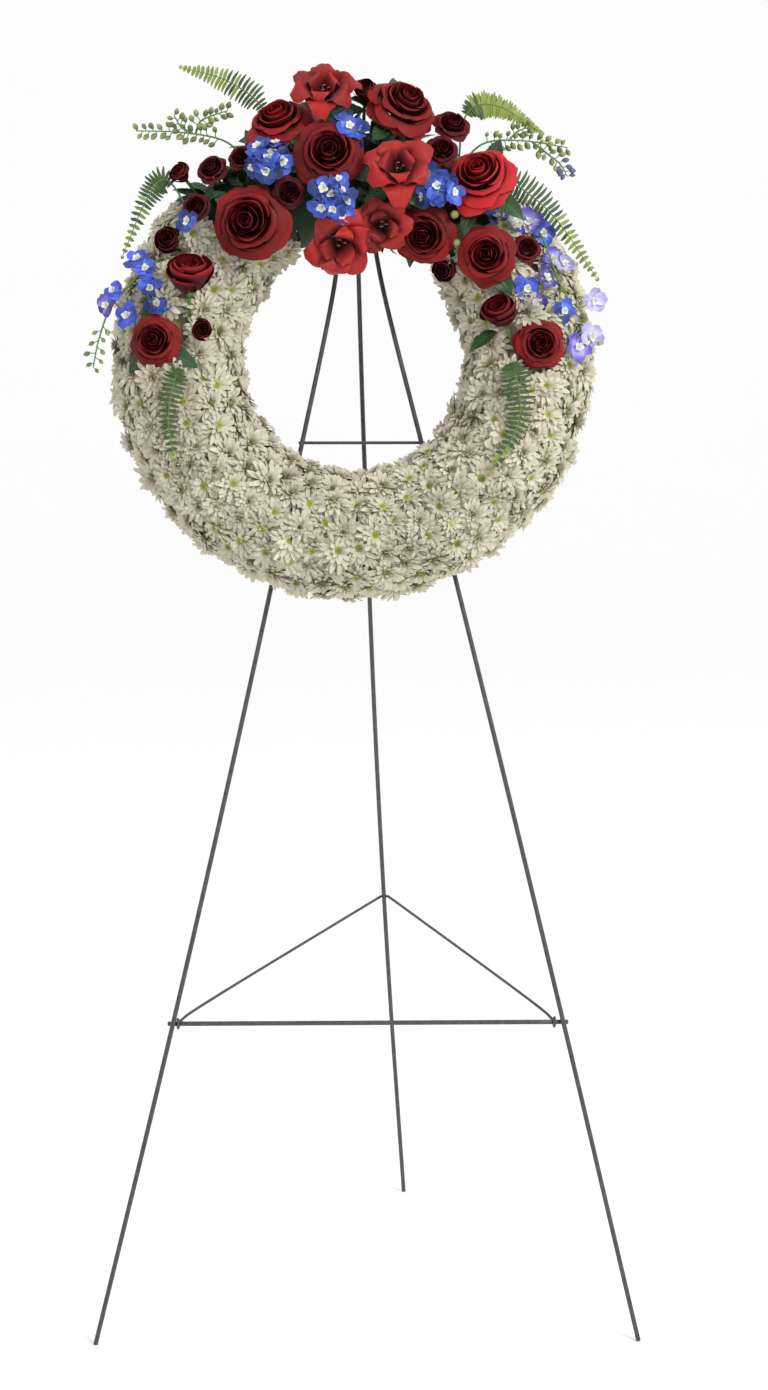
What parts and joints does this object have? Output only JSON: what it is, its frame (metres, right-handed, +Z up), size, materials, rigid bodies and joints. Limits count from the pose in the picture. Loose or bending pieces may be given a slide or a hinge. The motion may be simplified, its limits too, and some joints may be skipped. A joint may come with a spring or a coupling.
{
  "type": "funeral wreath",
  "caption": "Ring of white chrysanthemums with a crescent of red roses, gladiolus, blue delphinium and fern, pinned on a folding three-legged wire easel.",
  "frame": {"origin": "on the floor, under the middle of the whole object's bounding box", "axes": "+Z up, +Y away from the viewer towards the rear leg, +X to the right of a viewer facing the flowers"},
  "size_m": [0.6975, 0.5947, 1.6106],
  "materials": {
    "wire": "satin dark green-black paint",
    "tray": "matte green moulded plastic",
    "foam": "soaked green floral foam, matte",
    "greens": "dark rose foliage and stems, satin",
    "fern": "yellow-green fern fronds, satin",
    "chrysanthemum": "white to cream petals, yellow-green centres, matte",
    "rose": "deep red velvety petals",
    "gladiolus": "bright red ruffled petals with dark throats",
    "delphinium": "clear blue petals with white eyes"
  },
  "bodies": {
    "front": {"leg_left": "wire", "leg_right": "wire", "crossbar_lower": "wire", "crossbar_upper": "wire", "hinge_pin": "wire", "backing_tray": "tray", "foam_ring": "foam", "staple_upper_left": "wire", "staple_upper_right": "wire", "staple_lower_left": "wire", "staple_lower_right": "wire", "rose_1": "rose", "rose_2": "rose", "rose_3": "rose", "rose_4": "rose", "rose_5": "rose", "rose_6": "rose", "rose_7": "rose", "rose_8": "rose", "rose_9": "rose", "rose_10": "rose", "rose_11": "rose", "gladiolus_1": "gladiolus", "gladiolus_2": "gladiolus", "gladiolus_3": "gladiolus", "spray_rose_1": "rose", "spray_rose_2": "rose", "spray_rose_3": "rose", "spray_rose_4": "rose", "spray_rose_5": "rose", "spray_rose_6": "rose", "spray_rose_7": "rose", "spray_rose_8": "rose", "spray_rose_9": "rose", "spray_rose_10": "rose", "spray_rose_11": "rose", "delphinium_head_1": "delphinium", "delphinium_head_2": "delphinium", "delphinium_head_3": "delphinium", "delphinium_head_4": "delphinium", "delphinium_spray_left": "delphinium", "delphinium_spray_right": "delphinium", "fern_1": "fern", "fern_2": "fern", "fern_3": "fern", "fern_4": "fern", "fern_5": "fern", "fern_6": "fern", "greens_1": "greens", "greens_2": "greens", "greens_3": "greens", "greens_4": "greens", "chrysanthemums_1": "chrysanthemum", "chrysanthemums_2": "chrysanthemum", "chrysanthemums_3": "chrysanthemum", "chrysanthemums_4": "chrysanthemum", "chrysanthemums_5": "chrysanthemum", "chrysanthemums_6": "chrysanthemum"},
    "rear_leg": {"leg_rear": "wire"},
    "brace": {"brace": "wire"}
  },
  "joints": [
    {"name": "rear_leg_fold", "type": "hinge", "parent": "front", "child": "rear_leg", "pos_m": [-0.0105, -0.0348, 1.46145], "axis": [-1, 0, 0], "range_deg": [0, 20]},
    {"name": "brace_fold", "type": "hinge", "parent": "front", "child": "brace", "pos_m": [0, -0.2176, 0.3995], "axis": [-1, 0, 0], "range_deg": [0, 75]}
  ],
  "couplings": [
    {"joint": "brace_fold", "follows": "rear_leg_fold", "ratio": 3.75}
  ]
}
